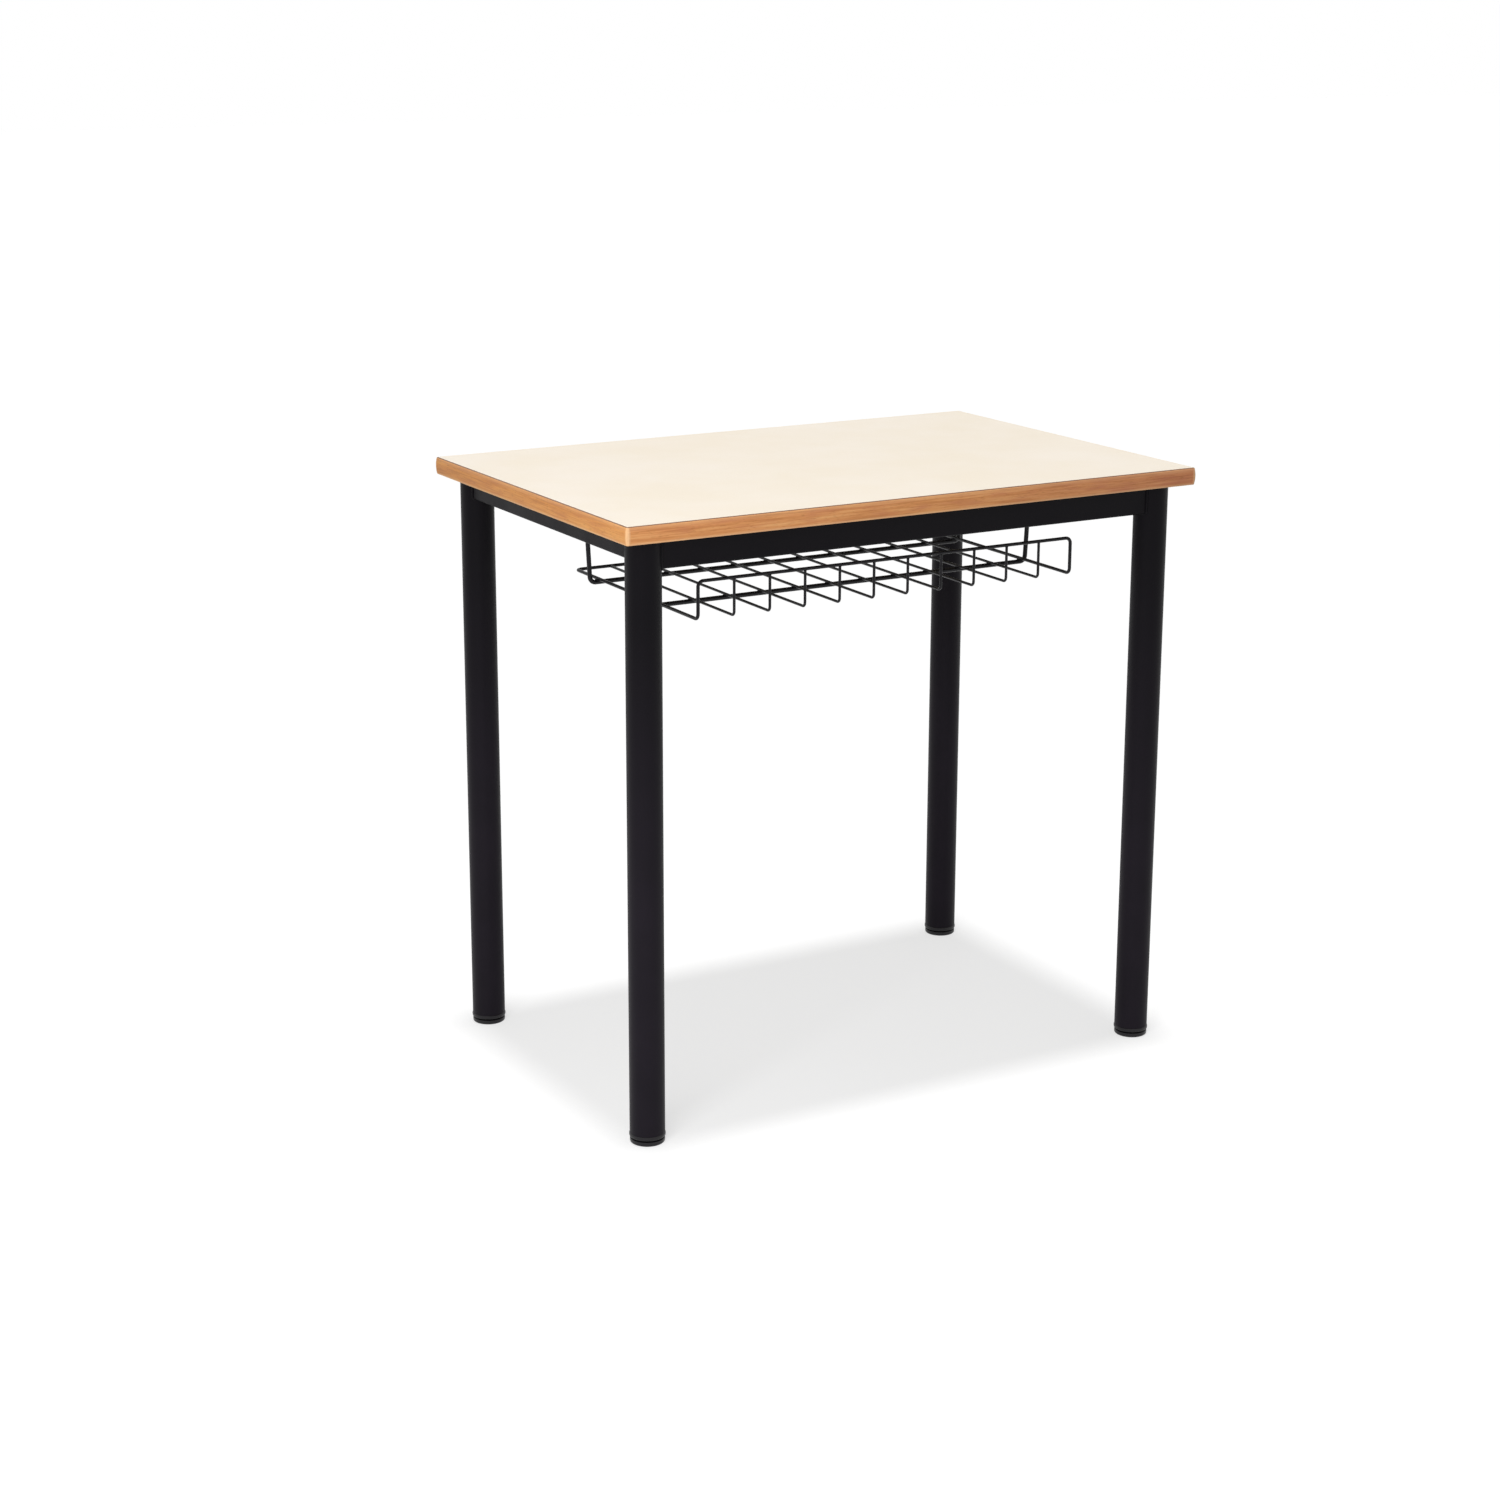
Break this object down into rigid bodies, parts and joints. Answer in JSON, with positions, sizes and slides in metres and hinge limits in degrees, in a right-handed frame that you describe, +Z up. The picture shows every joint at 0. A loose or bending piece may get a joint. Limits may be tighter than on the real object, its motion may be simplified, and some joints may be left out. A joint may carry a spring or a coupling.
{
  "type": "school desk",
  "caption": "School desk with a wood-edged laminate top on a round-leg steel frame, with a wire book basket under the top and levelling feet.",
  "frame": {"origin": "on the floor under the middle of the top", "axes": "+X along the desk's length, +Y towards the sitter, +Z up; the basket's fence is on the -Y side"},
  "size_m": [0.75, 0.5, 0.71],
  "materials": {
    "laminate": "cream high-pressure laminate, fine textured, satin, with a brown edge",
    "particle_board": "raw particle board",
    "backing": "plain backing laminate, dull",
    "lipping": "solid beech, stained and lacquered, satin",
    "frame": "black powder coat, semi-matt",
    "basket_wire": "black coated steel wire, semi-gloss",
    "foot_plastic": "black moulded plastic, satin",
    "screw_steel": "zinc-plated steel"
  },
  "bodies": {
    "desk": {"top_laminate": "laminate", "top_core": "particle_board", "backing_sheet": "backing", "lipping_front": "lipping", "lipping_right": "lipping", "lipping_rear": "lipping", "lipping_left": "lipping", "leg_front_left": "frame", "leg_front_right": "frame", "leg_rear_left": "frame", "leg_rear_right": "frame", "long_rail_front": "frame", "long_rail_rear": "frame", "short_rail_left": "frame", "short_rail_right": "frame", "foot_insert_front_left": "foot_plastic", "foot_insert_front_right": "foot_plastic", "foot_insert_rear_left": "foot_plastic", "foot_insert_rear_right": "foot_plastic", "top_screws": "screw_steel", "basket_screws": "screw_steel", "basket_rim": "basket_wire", "hanger_wire_front": "basket_wire", "hanger_wire_rear": "basket_wire", "basket_plate_front_left": "basket_wire", "basket_plate_front_right": "basket_wire", "basket_plate_rear_left": "basket_wire", "basket_plate_rear_right": "basket_wire", "cross_wire_01": "basket_wire", "cross_wire_02": "basket_wire", "cross_wire_03": "basket_wire", "cross_wire_04": "basket_wire", "cross_wire_05": "basket_wire", "cross_wire_06": "basket_wire", "cross_wire_07": "basket_wire", "cross_wire_08": "basket_wire", "cross_wire_09": "basket_wire", "cross_wire_10": "basket_wire"},
    "levelling_foot_front_left": {"glide_front_left": "foot_plastic"},
    "levelling_foot_front_right": {"glide_front_right": "foot_plastic"},
    "levelling_foot_rear_left": {"glide_rear_left": "foot_plastic"},
    "levelling_foot_rear_right": {"glide_rear_right": "foot_plastic"}
  },
  "joints": [
    {"name": "level_front_left", "type": "slide", "parent": "desk", "child": "levelling_foot_front_left", "axis": [0, 0, -1], "range_m": [0, 0.012]},
    {"name": "level_front_right", "type": "slide", "parent": "desk", "child": "levelling_foot_front_right", "axis": [0, 0, -1], "range_m": [0, 0.012]},
    {"name": "level_rear_left", "type": "slide", "parent": "desk", "child": "levelling_foot_rear_left", "axis": [0, 0, -1], "range_m": [0, 0.012]},
    {"name": "level_rear_right", "type": "slide", "parent": "desk", "child": "levelling_foot_rear_right", "axis": [0, 0, -1], "range_m": [0, 0.012]}
  ]
}
